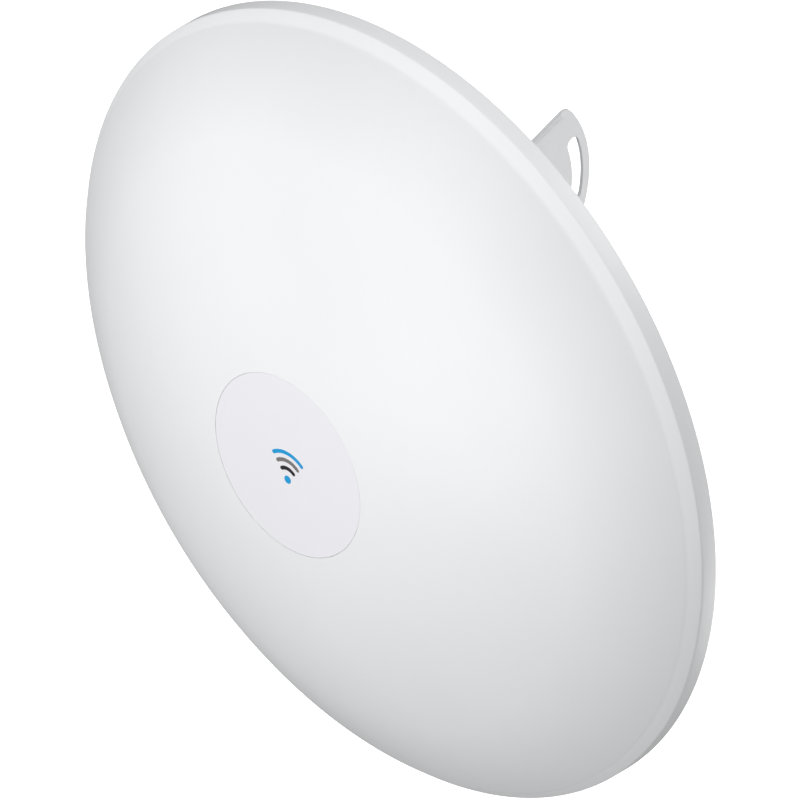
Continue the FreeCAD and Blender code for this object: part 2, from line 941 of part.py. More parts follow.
def build_feed_cone():
    body = new_part("feed_cone")
    plug = size("tube_bore") - size("feed_fit")
    turned(
        body,
        [
            (ZERO, size("cone_front")),
            (size("cone_radius"), size("cone_front")),
            (size("tube_radius"), size("tube_front")),
            (plug, size("tube_front")),
            (plug, size("plug_back")),
            (ZERO, size("plug_back")),
        ],
    )


def build_sub_reflector():
    body = new_part("sub_reflector")
    front = size("cone_front") - size("sub_thick")
    turned(
        body,
        [
            (ZERO, front),
            (size("sub_radius"), front),
            (size("sub_radius"), size("cone_front") + size("sub_rim")),
            (size("sub_inner_radius"), size("cone_front") + size("sub_rim")),
            (size("sub_inner_radius"), size("cone_front")),
            (ZERO, size("cone_front")),
        ],
    )


def build_feed_group():
    build_feed_flange()
    rings(
        "feed_tube",
        [(size("tube_bore"), size("tube_radius"), size("tube_front"), size("tube_back"))],
    )
    build_waveguide_launcher()
    build_feed_cone()
    build_sub_reflector()
    puck_back = size("cone_front") - size("sub_thick")
    rings("nose_pad", [(ZERO, size("pad_puck_radius"), shell_back, puck_back)])


# ---------------------------------------------------------------- port door and reset button


def build_door_hinge_pin():
    body = new_part("door_hinge_pin")
    pin = (size("pin_y"), size("pin_z"), size("pin_radius"))
    slab(body, "x", -size("lug_outer"), size("lug_outer"), circles=[pin])


def build_port_door():
    body = new_part("port_door")
    top = size("bay_bottom") - size("door_gap")
    bottom = top - size("door_thick")
    half = size("door_half")
    arm = size("barrel_half")
    panel = box_corners(-half, size("door_front"), half, size("door_back"))
    slab(body, "z", bottom, top, outlines=[panel])
    arm_panel = box_corners(-arm, size("door_back") - OVERLAP, arm, size("pin_y"))
    slab(body, "z", bottom, top, outlines=[arm_panel])
    barrel = (size("pin_y"), size("pin_z"), size("barrel_radius"))
    slab(body, "x", -arm, arm, circles=[barrel])
    bore = (size("pin_y"), size("pin_z"), size("pin_radius") + size("pin_fit"))
    slab(body, "x", -arm, arm, circles=[bore], cut=True)
    cable = (ZERO, size("cable_y"), size("cable_hole"))
    slab(body, "z", bottom, top, circles=[cable], cut=True)


def build_cable_grommet():
    body = new_part("cable_grommet")
    top = size("bay_bottom") - size("door_gap")
    bottom = top - size("door_thick")
    lip_bottom = bottom - size("grommet_lip_thick")
    slab(body, "z", bottom, top, circles=[(ZERO, size("cable_y"), size("grommet_radius"))])
    slab(body, "z", lip_bottom, bottom, circles=[(ZERO, size("cable_y"), size("grommet_lip"))])
    slab(body, "z", lip_bottom, top, circles=[(ZERO, size("cable_y"), size("grommet_bore"))], cut=True)


def build_reset_button():
    body = new_part("reset_button")
    place = (size("button_y"), size("button_z"))
    flange_outer = size("button_inner") + size("button_flange_thick")
    slab(
        body,
        "x",
        size("button_inner"),
        flange_outer,
        circles=[(*place, size("button_flange_radius"))],
    )
    slab(body, "x", flange_outer - OVERLAP, size("button_outer"), circles=[(*place, size("button_radius"))])


# ---------------------------------------------------------------- elevation plate


def on_fan(radius, angle):
    """A place on the fan, at a radius from the pivot and an angle up from straight back."""
    return (size("pivot_y") + radius * cosine(angle), size("pivot_z") + radius * sine(angle))


def on_top_edge(along):
    """A place on the fan's straight top edge, measured along it from the foot of the pivot."""
    slope = size("top_slope")
    return (
        size("pivot_y") - size("top_offset") * sine(slope) + along * cosine(slope),
        size("pivot_z") + size("top_offset") * cosine(slope) + along * sine(slope),
    )


def arc_sector(first, last):
    """The straight-ended part of a curved slot, between its two end holes."""
    inner = size("slot_radius") - size("slot_half")
    outer = size("slot_radius") + size("slot_half")
    return [
        (*on_fan(outer, first), outer, 1),
        on_fan(outer, last),
        (*on_fan(inner, last), inner, -1),
        on_fan(inner, first),
    ]


def cut_curved_slot(body, first, last):
    slab(body, "x", plate_hidden_face, size("plate_face"), outlines=[arc_sector(first, last)], cut=True)
    ends = [(*on_fan(size("slot_radius"), angle), size("slot_half")) for angle in (first, last)]
    for end in ends:
        slab(body, "x", plate_hidden_face, size("plate_face"), circles=[end], cut=True)


def add_rolled_edge(body):
    """The rolled bead that stiffens the fan's top edge and stops just short of its tip."""
    slope = size("top_slope")
    depth_y = size("hem_height") * sine(slope)
    depth_z = size("hem_height") * cosine(slope)
    start = on_top_edge(size("hem_start"))
    end = on_top_edge(size("hem_end"))
    strip = [
        start,
        (start[0] + depth_y, start[1] - depth_z),
        (end[0] + depth_y, end[1] - depth_z),
        end,
    ]
    hem_face = plate_hidden_face + size("hem_width")
    slab(body, "x", plate_hidden_face, hem_face, outlines=[strip])
    round_edges(
        body,
        size("hem_round"),
        lambda edge: edge.Length > LONG_EDGE and reaches(edge.BoundBox.XMin, hem_face),
    )


def build_elevation_plate():
    body = new_part("elevation_plate")
    low_y, low_z = on_fan(size("fan_radius"), size("fan_low_angle"))
    offset = size("top_offset")
    reach = root(size("fan_radius") * size("fan_radius") - offset * offset)
    tip = on_top_edge(reach)
    front_along = (size("hub_back") - on_top_edge(ZERO)[0]) / cosine(size("top_slope"))
    front_top = on_top_edge(front_along)
    fan = [
        (size("hub_back"), size("base_low")),
        (low_y, low_z, size("fan_radius"), 1),
        (*on_fan(size("fan_radius"), ZERO), size("fan_radius"), 1),
        tip,
        (size("hub_back"), front_top[1]),
    ]
    slab(body, "x", plate_hidden_face, size("plate_face"), outlines=[fan])
    round_edges(
        body,
        size("fan_corner"),
        lambda edge: edge.Length < SHORT_EDGE and reaches(edge.BoundBox.YMin, tip[0]),
    )
    base = box_corners(plate_hidden_face, size("base_low"), size("base_right"), front_top[1])
    slab(body, "y", size("hub_back"), base_back, outlines=[base])
    round_edges(
        body,
        size("base_corner"),
        lambda edge: edge.Length < SHORT_EDGE and reaches(edge.BoundBox.XMin, size("base_right")),
    )
    round_edges(
        body,
        size("plate_sheet"),
        lambda edge: edge.Length > LONG_EDGE
        and reaches(edge.BoundBox.XMax, plate_hidden_face)
        and reaches(edge.BoundBox.YMax, size("hub_back")),
    )
    holes = [(across, up, size("bracket_hole")) for across, up in bracket_places]
    holes.append((ZERO, ZERO, size("base_opening")))
    slab(body, "y", size("hub_back"), base_back, circles=holes, cut=True)
    pivot = (size("pivot_y"), size("pivot_z"), size("tilt_bolt") + size("pivot_fit"))
    slab(body, "x", plate_hidden_face, size("plate_face"), circles=[pivot], cut=True)
    cut_curved_slot(body, size("slot_first"), size("slot_last"))
    cut_curved_slot(body, size("lock_slot_first"), size("lock_slot_last"))
    add_rolled_edge(body)


def build_bracket_fasteners():
    washers = new_part("bracket_washers")
    washer_back = base_back + size("bracket_washer_thick")
    discs = [(across, up, size("bracket_washer")) for across, up in bracket_places]
    holes = [(across, up, size("bracket_hole")) for across, up in bracket_places]
    slab(washers, "y", base_back, washer_back, circles=discs)
    slab(washers, "y", base_back, washer_back, circles=holes, cut=True)
    bolts = new_part("bracket_bolts")
    shanks = [(across, up, size("bracket_bolt")) for across, up in bracket_places]
    heads = [hexagon(across, up, size("bracket_flat")) for across, up in bracket_places]
    slab(bolts, "y", size("bracket_bolt_tip"), washer_back + OVERLAP, circles=shanks)
    slab(bolts, "y", washer_back, washer_back + size("bracket_head_thick"), outlines=heads)


# ---------------------------------------------------------------- pole bracket and clamp jaw


def build_jaw(label, web_near, web_out, flange_end, side, holes):
    """A channel: a web square to X and two flanges, notched for the pole, that reach towards it."""
    body = new_part(label)
    low = clamp_z - size("jaw_half_height")
    high = clamp_z + size("jaw_half_height")
    web = box_corners(size("web_front"), low, size("web_back"), high)
    slab(body, "x", web_near, web_out, outlines=[web])
    root_x = web_near if side < 0 else web_out
    taper = size("jaw_taper")
    notch = (pole_x, pole_y, size("pole_radius"))
    for floor in (low, high - size("jaw_sheet")):
        flange = [
            (root_x, size("web_front")),
            (flange_end, size("web_front") + taper),
            (flange_end, size("web_back") - taper),
            (root_x, size("web_back")),
        ]
        if side > 0:
            flange.reverse()
        slab(body, "z", floor, floor + size("jaw_sheet"), outlines=[flange])
    slab(body, "z", low, high, circles=[notch], cut=True)
    for across, up, radius in holes:
        slab(body, "x", web_near, web_out, circles=[(across, up, radius)], cut=True)
    return body


def build_pole_bracket():
    holes = [(across, up, size("web_hole")) for across, up in tilt_places]
    holes += [(across, up, size("carriage_hole")) for across, up in carriage_places]
    flange_end = size("web_face") - size("jaw_reach")
    build_jaw("pole_bracket", web_far, size("web_face"), flange_end, -1, holes)


def build_pole_clamp():
    """The loose jaw: the bracket's channel mirrored about the pole."""
    near = pole_x * 2 - size("web_face")
    far = pole_x * 2 - web_far
    flange_end = pole_x * 2 - size("web_face") + size("jaw_reach")
    holes = [(across, up, size("carriage_hole")) for across, up in carriage_places]
    build_jaw("pole_clamp", near, far, flange_end, 1, holes)
    return near


def build_washers(label, layers, radius, hole):
    """Washers at the given (place, low x, high x)."""
    body = new_part(label)
    for place, low, high in layers:
        slab(body, "x", low, high, circles=[(*place, radius), (*place, hole)])


def build_nuts(label, places, low, high, bore):
    body = new_part(label)
    for place in places:
        slab(body, "x", low, high, outlines=[hexagon(*place, size("tilt_flat"))], circles=[(*place, bore)])
    return body


def build_tilt_fasteners():
    head_washer = size("plate_face") + size("bush_gap")
    head_face = head_washer + size("tilt_washer_thick")
    nut_washer = web_far - size("tilt_washer_thick")
    nut_low = nut_washer - size("tilt_nut_thick")
    bush_low = size("web_face")
    bush_high = size("web_face") + size("bush_length")
    thread = size("tilt_bolt") + size("pivot_fit")
    layers = []
    for name, place in zip(("pivot", "lock"), tilt_places):
        bolt = new_part(f"{name}_bolt")
        slab(bolt, "x", size("tilt_bolt_end"), head_face + OVERLAP, circles=[(*place, size("tilt_bolt"))])
        head_end = head_face + size("tilt_head_thick")
        slab(bolt, "x", head_face, head_end, outlines=[hexagon(*place, size("tilt_flat"))])
        build_nuts(f"{name}_nut", [place], nut_low, nut_washer, thread)
        bush = new_part(f"{name}_bush")
        slab(bush, "x", bush_low, bush_high, circles=[(*place, size("bush_radius")), (*place, thread)])
        layers.append((place, head_washer, head_face))
        layers.append((place, nut_washer, web_far))
    build_washers("tilt_washers", layers, size("tilt_washer"), size("web_hole"))


def build_carriage_bolts():
    body = new_part("carriage_bolts")
    head_top = size("web_face") + size("carriage_head_thick")
    heads = [(*place, size("carriage_head")) for place in carriage_places]
    shanks = [(*place, size("carriage_radius")) for place in carriage_places]
    slab(body, "x", size("web_face"), head_top, circles=heads)
    round_edges(body, size("carriage_round"), lambda edge: reaches(edge.BoundBox.XMin, head_top))
    slab(body, "x", size("carriage_end"), size("web_face") + OVERLAP, circles=shanks)


def build_clamp_fasteners(near):
    washer_low = near - size("web_sheet") - size("tilt_washer_thick")
    washer_high = near - size("web_sheet")
    layers = [(place, washer_low, washer_high) for place in carriage_places]
    build_washers("clamp_washers", layers, size("carriage_head"), size("carriage_hole"))
    nut_low = washer_low - size("tilt_nut_thick")
    thread = size("carriage_radius") + size("pivot_fit")
    build_nuts("clamp_nuts", carriage_places, nut_low, washer_low, thread)


# ---------------------------------------------------------------- build, test and write


def check_document():
    for item in doc.Objects:
        if "Invalid" in item.State or "Error" in item.State:
            raise RuntimeError(f"{item.Name} of {item.getParent().Label} failed: {item.State}")
    for body in parts:
        if body.Shape.isNull() or not body.Shape.isValid():
            raise RuntimeError(f"{body.Label} has no valid shape")


build_radome_group()
build_hub_group()
build_port_bay()
build_radio_group()
build_feed_group()
build_door_hinge_pin()
build_port_door()
build_cable_grommet()
build_reset_button()
build_elevation_plate()
build_bracket_fasteners()
build_pole_bracket()
jaw_near = build_pole_clamp()
build_tilt_fasteners()
build_carriage_bolts()
build_clamp_fasteners(jaw_near)

doc.recompute()
check_document()
os.makedirs("parts", exist_ok=True)
for body in parts:
    body.Shape.exportStep(f"parts/{body.Label}.step")
    solids = len(body.Shape.Solids)
    print(f"{body.Label}: {solids} solids, {body.Shape.Volume:.0f} mm3")
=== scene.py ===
import json
import math

import bmesh
import bpy
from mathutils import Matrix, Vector


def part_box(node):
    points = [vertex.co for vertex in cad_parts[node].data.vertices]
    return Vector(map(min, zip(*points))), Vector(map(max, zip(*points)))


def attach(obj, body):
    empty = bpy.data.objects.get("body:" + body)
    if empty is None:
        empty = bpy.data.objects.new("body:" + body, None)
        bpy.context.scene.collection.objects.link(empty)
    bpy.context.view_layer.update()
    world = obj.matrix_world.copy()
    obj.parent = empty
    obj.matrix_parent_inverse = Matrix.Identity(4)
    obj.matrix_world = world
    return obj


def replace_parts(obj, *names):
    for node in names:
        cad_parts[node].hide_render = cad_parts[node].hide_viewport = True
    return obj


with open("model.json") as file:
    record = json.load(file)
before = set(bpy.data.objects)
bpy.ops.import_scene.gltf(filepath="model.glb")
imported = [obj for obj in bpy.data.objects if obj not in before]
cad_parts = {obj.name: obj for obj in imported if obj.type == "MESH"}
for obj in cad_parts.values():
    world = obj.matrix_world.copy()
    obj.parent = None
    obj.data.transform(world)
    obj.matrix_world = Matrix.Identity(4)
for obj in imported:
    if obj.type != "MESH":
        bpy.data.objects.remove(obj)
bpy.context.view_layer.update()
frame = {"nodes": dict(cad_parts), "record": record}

# Looks of the outdoor wireless bridge, in metres, in the CAD's frame: the pole's axis is Z and the
# dish looks along -Y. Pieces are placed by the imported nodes' boxes; their profiles are named sizes.

MM = 0.001
WHITE = (1, 1, 1)
RIM_RADIUS = 260 * MM
NODES = frame["nodes"]
# Edges that turn by more than this many degrees stay sharp.
SMALL_SHARP = 35
TURNED_SHARP = 30
CAD_SHARP = 32
# Cosines of an edge's turn where wear begins and where it is complete, and the worn paint's tone.
WEAR_BEGINS = 0.995
WEAR_COMPLETE = 0.9
WORN_TONE = 0.86
PLASTIC_IOR = 1.49


def corner(node, which, axis):
    """One coordinate of a node's box; which is 0 for its lowest corner and 1 for its highest."""
    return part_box(node)[which]["xyz".index(axis)]


def middle(node, axis):
    return (corner(node, 0, axis) + corner(node, 1, axis)) / 2


# The antenna's axis runs along Y through the middle of the radome, whose back edge is the rim.
AXIS_X = middle("radome_shell", "x")
AXIS_Z = middle("radome_shell", "z")
RIM_Y = corner("radome_shell", 1, "y")
DISC_Y = corner("centre_cap", 0, "y")


# ---------------------------------------------------------------- materials


class Paints:
    """A node tree with short ways to add and join nodes."""

    def __init__(self, name):
        self.material = bpy.data.materials.new(name)
        self.material.use_nodes = True
        self.nodes = self.material.node_tree.nodes
        self.links = self.material.node_tree.links
        self.shader = self.nodes["Principled BSDF"]
        self.place = self.nodes.new("ShaderNodeTexCoord").outputs["Object"]

    def noise(self, scale, detail=3.0, roughness=0.5, stretch=None):
        node = self.nodes.new("ShaderNodeTexNoise")
        node.inputs["Scale"].default_value = scale
        node.inputs["Detail"].default_value = detail
        node.inputs["Roughness"].default_value = roughness
        self.links.new(self.stretched(stretch), node.inputs["Vector"])
        return node.outputs["Fac"]

    def stretched(self, stretch):
        if stretch is None:
            return self.place
        mapping = self.nodes.new("ShaderNodeMapping")
        mapping.inputs["Scale"].default_value = stretch
        self.links.new(self.place, mapping.inputs["Vector"])
        return mapping.outputs["Vector"]

    def cells(self, scale):
        node = self.nodes.new("ShaderNodeTexVoronoi")
        node.inputs["Scale"].default_value = scale
        self.links.new(self.place, node.inputs["Vector"])
        return node.outputs["Distance"]

    def ramp(self, source, stops):
        """A colour ramp from a list of (position, colour)."""
        node = self.nodes.new("ShaderNodeValToRGB")
        ramp = node.color_ramp
        while len(ramp.elements) < len(stops):
            ramp.elements.new(0.5)
        for element, (position, colour) in zip(ramp.elements, stops):
            element.position = position
            element.color = (*colour, 1)
        self.links.new(source, node.inputs["Fac"])
        return node.outputs["Color"]

    def two_tone(self, source, dark, light, low=0.3, high=0.7):
        """A colour ramp from dark to light, even below low and above high."""
        return self.ramp(source, [(low, dark), (high, light)])

    def spread(self, source, low, high):
        """Map a 0 to 1 value to low to high."""
        node = self.nodes.new("ShaderNodeMapRange")
        node.inputs["To Min"].default_value = low
        node.inputs["To Max"].default_value = high
        self.links.new(source, node.inputs["Value"])
        return node.outputs["Result"]

    def edge_wear(self, width, base, worn):
        """Show a worn colour where the surface turns sharply."""
        bevel = self.nodes.new("ShaderNodeBevel")
        bevel.inputs["Radius"].default_value = width
        geometry = self.nodes.new("ShaderNodeNewGeometry")
        turn = self.nodes.new("ShaderNodeVectorMath")
        turn.operation = "DOT_PRODUCT"
        self.links.new(bevel.outputs["Normal"], turn.inputs[0])
        self.links.new(geometry.outputs["Normal"], turn.inputs[1])
        wear = self.spread_from(turn.outputs["Value"], WEAR_BEGINS, WEAR_COMPLETE)
        return self.blended(wear, base, worn)

    def spread_from(self, source, start, end):
        node = self.nodes.new("ShaderNodeMapRange")
        node.inputs["From Min"].default_value = start
        node.inputs["From Max"].default_value = end
        self.links.new(source, node.inputs["Value"])
        return node.outputs["Result"]

    def blended(self, factor, first, second):
        node = self.nodes.new("ShaderNodeMix")
        node.data_type = "RGBA"
        self.links.new(factor, node.inputs["Factor"])
        for socket, colour in ((node.inputs["A"], first), (node.inputs["B"], second)):
            if isinstance(colour, tuple):
                socket.default_value = (*colour, 1)
            else:
                self.links.new(colour, socket)
        return node.outputs["Result"]

    def distance(self, offset, scale):
        """The distance from a point, after scaling and shifting the object's coordinates."""
        mapping = self.nodes.new("ShaderNodeMapping")
        mapping.inputs["Location"].default_value = offset
        mapping.inputs["Scale"].default_value = scale
        self.links.new(self.place, mapping.inputs["Vector"])
        length = self.nodes.new("ShaderNodeVectorMath")
        length.operation = "LENGTH"
        self.links.new(mapping.outputs["Vector"], length.inputs[0])
        return length.outputs["Value"]

    def multiplied(self, first, second):
        node = self.nodes.new("ShaderNodeMix")
        node.data_type = "RGBA"
        node.blend_type = "MULTIPLY"
        node.inputs["Factor"].default_value = 1.0
        self.links.new(first, node.inputs["A"])
        self.links.new(second, node.inputs["B"])
        return node.outputs["Result"]

    def bump(self, layers):
        """Stack bumps from (height, distance, strength)."""
        normal = None
        for height, distance, strength in layers:
            node = self.nodes.new("ShaderNodeBump")
            node.inputs["Distance"].default_value = distance
            node.inputs["Strength"].default_value = strength
            self.links.new(height, node.inputs["Height"])
            if normal is not None:
                self.links.new(normal, node.inputs["Normal"])
            normal = node.outputs["Normal"]
        self.links.new(normal, self.shader.inputs["Normal"])

    def colour(self, source):
        self.links.new(source, self.shader.inputs["Base Color"])

    def roughness(self, source):
        self.links.new(source, self.shader.inputs["Roughness"])

    def clear_from_behind(self):
        """Let the surface's back be seen through."""
        geometry = self.nodes.new("ShaderNodeNewGeometry")
        clear = self.nodes.new("ShaderNodeBsdfTransparent")
        mix = self.nodes.new("ShaderNodeMixShader")
        self.links.new(geometry.outputs["Backfacing"], mix.inputs["Fac"])
        self.links.new(self.shader.outputs["BSDF"], mix.inputs[1])
        self.links.new(clear.outputs["BSDF"], mix.inputs[2])
        self.links.new(mix.outputs["Shader"], self.nodes["Material Output"].inputs["Surface"])

    def fixed(self, **values):
        """Set constant inputs on the shader, named with underscores for spaces."""
        for name, value in values.items():
            self.shader.inputs[name.replace("_", " ")].default_value = value


def moulded_plastic(name, light, dark, grain, roughness):
    """Moulded plastic: a fine spark-eroded grain, faint flow marks and a soft sheen."""
    paint = Paints(name)
    paint.base = paint.two_tone(paint.noise(9, 4), dark, light)
    paint.colour(paint.base)
    paint.roughness(paint.spread(paint.noise(60, 3), roughness - 0.04, roughness + 0.05))
    paint.bump([
        (paint.noise(3200, 2), 0.02 * MM, grain),
        (paint.noise(45, 2), 0.05 * MM, grain * 0.5),
    ])
    return paint


# Painted shade on the radome, against its distance from the axis, in shares of the rim's radius: an
# even painted shade up to DOME_EVEN, darkest at the middle stop, just inside the dome's edge, and none
# from PLAIN_FROM outwards.
DOME_EVEN = 0.75
PAINTED_SHADE_DARKEST = 0.972
PLAIN_FROM = 0.978
DOME_PAINTED_SHADE = (0.92, 0.92, 0.92)
EDGE_PAINTED_SHADE = (0.84, 0.84, 0.84)


def radome_plastic():
    """Moulded plastic with painted shade, darker towards the dome's edge, to bring its shading nearer
    to the look.

    The painted shade is a correction for the lighting; no such coat is known on a real radome.
    """
    paint = moulded_plastic("radome_white", (0.94, 0.95, 0.96), (0.92, 0.93, 0.94), 0.35, 0.43)
    centre = (-AXIS_X / RIM_RADIUS, 0, -AXIS_Z / RIM_RADIUS)
    share = paint.distance(centre, (1 / RIM_RADIUS, 0, 1 / RIM_RADIUS))
    # Painted shade: this ramp darkens the whole dome and most just inside its edge; the rim and chamfer
    # stay plain.
    tone = paint.ramp(share, [(DOME_EVEN, DOME_PAINTED_SHADE), (PAINTED_SHADE_DARKEST, EDGE_PAINTED_SHADE), (PLAIN_FROM, WHITE)])
    paint.colour(paint.multiplied(paint.base, tone))
    paint.fixed(IOR=PLASTIC_IOR)
    return paint.material


def cap_plastic():
    paint = moulded_plastic("cap_white", (0.85, 0.846, 0.882), (0.834, 0.83, 0.866), 0.3, 0.43)
    paint.fixed(IOR=PLASTIC_IOR)
    return paint.material


def housing_plastic():
    paint = moulded_plastic("housing_white", (0.78, 0.785, 0.79), (0.75, 0.755, 0.76), 0.9, 0.5)
    paint.fixed(IOR=PLASTIC_IOR)
    return paint.material


def button_plastic():
    return moulded_plastic("button_grey", (0.13, 0.13, 0.135), (0.1, 0.1, 0.105), 0.6, 0.45).material


def black_plastic():
    return moulded_plastic("switch_black", (0.02, 0.02, 0.02), (0.012, 0.012, 0.012), 0.6, 0.5).material


def dielectric_plastic():
    paint = moulded_plastic("dielectric", (0.83, 0.81, 0.75), (0.79, 0.77, 0.7), 0.3, 0.42)
    paint.fixed(Subsurface_Weight=0.15)
    return paint.material


def powder_coat(name, light, dark):
    """Powder coat: a shallow orange peel, slightly uneven in tone and darker along its sharp edges."""
    paint = Paints(name)
    base = paint.two_tone(paint.noise(14, 5), dark, light, high=0.75)
    paint.colour(paint.edge_wear(0.35 * MM, base, tuple(value * WORN_TONE for value in dark)))
    paint.roughness(paint.spread(paint.noise(220, 4), 0.36, 0.5))
    paint.bump([
        (paint.cells(900), 0.05 * MM, 0.25),
        (paint.noise(420, 3), 0.06 * MM, 0.35),
    ])
    return paint.material


def bracket_paint():
    return powder_coat("bracket_paint", (0.88, 0.885, 0.9), (0.85, 0.855, 0.87))


def reflector_paint():
    return powder_coat("reflector_metal", (0.74, 0.745, 0.75), (0.71, 0.715, 0.72))


def plated_metal(name, light, dark, roughness):
    """Zinc plating or bright steel: cloudy crystals, fine drawn lines and a soft metallic gloss."""
    paint = Paints(name)
    cloud = paint.noise(260, 5, 0.6)
    paint.colour(paint.two_tone(cloud, dark, light, low=0.25, high=0.75))
    paint.roughness(paint.spread(paint.noise(700, 4), roughness - 0.07, roughness + 0.1))
    paint.bump([
        (paint.noise(900, 3, 0.5, (0.05, 1, 1)), 0.02 * MM, 0.3),
        (paint.noise(1800, 2), 0.02 * MM, 0.25),
    ])
    paint.fixed(Metallic=1.0)
    return paint.material


def zinc_plate():
    return plated_metal("zinc", (0.69, 0.7, 0.71), (0.5, 0.51, 0.53), 0.34)


def spring_steel():
    return plated_metal("spring_steel", (0.62, 0.62, 0.63), (0.48, 0.48, 0.5), 0.28)


def tin_plate():
    return plated_metal("shield_tin", (0.74, 0.73, 0.7), (0.6, 0.6, 0.58), 0.25)


def machined_aluminium():
    return plated_metal("aluminium", (0.8, 0.81, 0.82), (0.68, 0.69, 0.7), 0.3)


def gold_plate():
    return plated_metal("contact_gold", (0.83, 0.6, 0.22), (0.7, 0.48, 0.15), 0.25)


def soft_material(name, light, dark, grain_scale, grain):
    """Rubber, foam or gap filler: matte, with a pored surface."""
    paint = Paints(name)
    paint.colour(paint.two_tone(paint.noise(120, 4), dark, light))
    paint.roughness(paint.spread(paint.noise(300, 3), 0.68, 0.86))
    paint.bump([(paint.cells(grain_scale), 0.08 * MM, grain)])
    return paint.material


def seal_rubber():
    return soft_material("seal_rubber", (0.028, 0.028, 0.03), (0.016, 0.016, 0.017), 1500, 0.3)


def foam():
    return soft_material("foam", (0.05, 0.05, 0.052), (0.03, 0.03, 0.032), 700, 0.8)


def gap_filler():
    return soft_material("thermal", (0.2, 0.28, 0.36), (0.16, 0.23, 0.3), 1200, 0.4)


def vent_film():
    return soft_material("membrane", (0.06, 0.06, 0.062), (0.035, 0.035, 0.036), 2600, 0.5)


def circuit_board():
    """Green solder mask over copper tracks that show as slightly raised lighter lines."""
    paint = Paints("board_green")
    tracks = paint.cells(210)
    paint.colour(paint.ramp(tracks, [(0.12, (0.02, 0.12, 0.05)), (0.3, (0.01, 0.055, 0.025))]))
    paint.roughness(paint.spread(paint.noise(150, 3), 0.3, 0.42))
    paint.bump([(tracks, 0.04 * MM, 0.4)])
    return paint.material


def clear_acrylic():
    paint = Paints("light_clear")
    paint.colour(paint.two_tone(paint.noise(80, 2), (0.72, 0.86, 0.92), (0.8, 0.92, 0.96)))
    paint.roughness(paint.spread(paint.noise(400, 2), 0.08, 0.16))
    paint.fixed(Transmission_Weight=0.7, IOR=PLASTIC_IOR)
    return paint.material


def printed_ink(name, light, dark):
    """A screen-printed ink with a faint mesh texture."""
    paint = Paints(name)
    paint.colour(paint.two_tone(paint.noise(900, 2), dark, light))
    paint.roughness(paint.spread(paint.noise(500, 2), 0.4, 0.5))
    paint.bump([(paint.cells(4200), 0.01 * MM, 0.3)])
    return paint.material


# ---------------------------------------------------------------- mesh helpers


def new_piece(name, mesh, material, body, sharp_angle=SMALL_SHARP):
    """Make an object of a bmesh, with its material, and let it ride on a CAD body."""
    data = bpy.data.meshes.new(name)
    bmesh.ops.recalc_face_normals(mesh, faces=mesh.faces)
    mesh.to_mesh(data)
    mesh.free()
    data.materials.append(material)
    piece = bpy.data.objects.new(name, data)
    bpy.context.scene.collection.objects.link(piece)
    data.shade_smooth()
    data.set_sharp_from_angle(angle=math.radians(sharp_angle))
    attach(piece, body)
    return piece


CORNER_STEPS = 4
CORNER_POINTS = CORNER_STEPS + 1
# The most of a side's length that the round at one of its ends may take.
SIDE_SHARE = 0.45


def rounded(points, radius, steps=CORNER_STEPS):
    """A closed outline with each corner replaced by a small round."""
    smooth = []
    for index, point in enumerate(points):
        before = Vector(points[index - 1]) - Vector(point)
        after = Vector(points[(index + 1) % len(points)]) - Vector(point)
        reach = min(radius, before.length * SIDE_SHARE, after.length * SIDE_SHARE)
        start = Vector(point) + before.normalized() * reach
        end = Vector(point) + after.normalized() * reach
        for step in range(steps + 1):
            share = step / steps
            first = start.lerp(Vector(point), share)
            second = Vector(point).lerp(end, share)
            smooth.append(tuple(first.lerp(second, share)))
    return smooth


def hex_reach(angle, flat):
    """How far a hexagon's side is from its centre, in a direction; a corner points along zero."""
    sixth = math.pi / 3
    return flat / 2 / math.cos((angle % sixth) - sixth / 2)


def lathe(mesh, outline, place, axis, steps, flat=None):
    """Turn a closed outline of (radius, along) about an axis, inside a hexagon if flat is given."""
    turn = Vector((0, 0, 1)).rotation_difference(Vector(axis)).to_matrix()
    rows = []
    for radius, along in outline:
        ring = []
        for step in range(steps):
            angle = 2 * math.pi * step / steps
            out = radius if flat is None else min(radius, hex_reach(angle, flat))
            spot = turn @ Vector((out * math.cos(angle), out * math.sin(angle), along))
            ring.append(mesh.verts.new(Vector(place) + spot))
        rows.append(ring)
    for index, ring in enumerate(rows):
        following = rows[(index + 1) % len(rows)]
        for step in range(steps):
            after = (step + 1) % steps
            mesh.faces.new((ring[step], ring[after], following[after], following[step]))


# ---------------------------------------------------------------- radome and reflector

SKIRT_DEPTH = 12 * MM
CHAMFER_DEPTH = 7.7 * MM
DOME_EDGE = 253.2 * MM
DOME_RADIUS = 416 * MM
DISC_RADIUS = 61.1 * MM
CAP_RADIUS = 60.9 * MM
CAP_THICK = 1.2 * MM
SHELL_WALL = 3 * MM
SKIRT_INNER = 257 * MM
LEDGE_RADIUS = 253 * MM
LEDGE_DEPTH = 7 * MM
GROOVE_RADIUS = 258.2 * MM
GROOVE_BACK = 1.9 * MM
GROOVE_FRONT = 3.5 * MM
AXIS_END = 0.02 * MM
EDGE_ROUND = 0.9 * MM
# Where the outline of the rim and chamfer hands over to the dome.
DOME_START = DOME_EDGE - 6 * MM
OUTER_ARC_STEPS = 48
INNER_ARC_STEPS = 24
CAP_LIP = 3 * MM
CAP_ROUND = 0.25 * MM

FORWARD = (0, -1, 0)
RIM_CENTRE = (AXIS_X, RIM_Y, AXIS_Z)
ROUND_STEPS = 288
DISC_DEPTH = RIM_Y - DISC_Y
DOME_CENTRE = -(math.sqrt(DOME_RADIUS**2 - DOME_EDGE**2) - SKIRT_DEPTH - CHAMFER_DEPTH)


def dome_depth(radius, out):
    """How far forward of the rim a sphere about the dome's centre lies, at a distance from the axis."""
    return DOME_CENTRE + math.sqrt(radius**2 - out**2)


def dome_arc(radius, start, end, steps):
    return [
        (out, dome_depth(radius, out))
        for out in (start + (end - start) * step / steps for step in range(steps + 1))
    ]


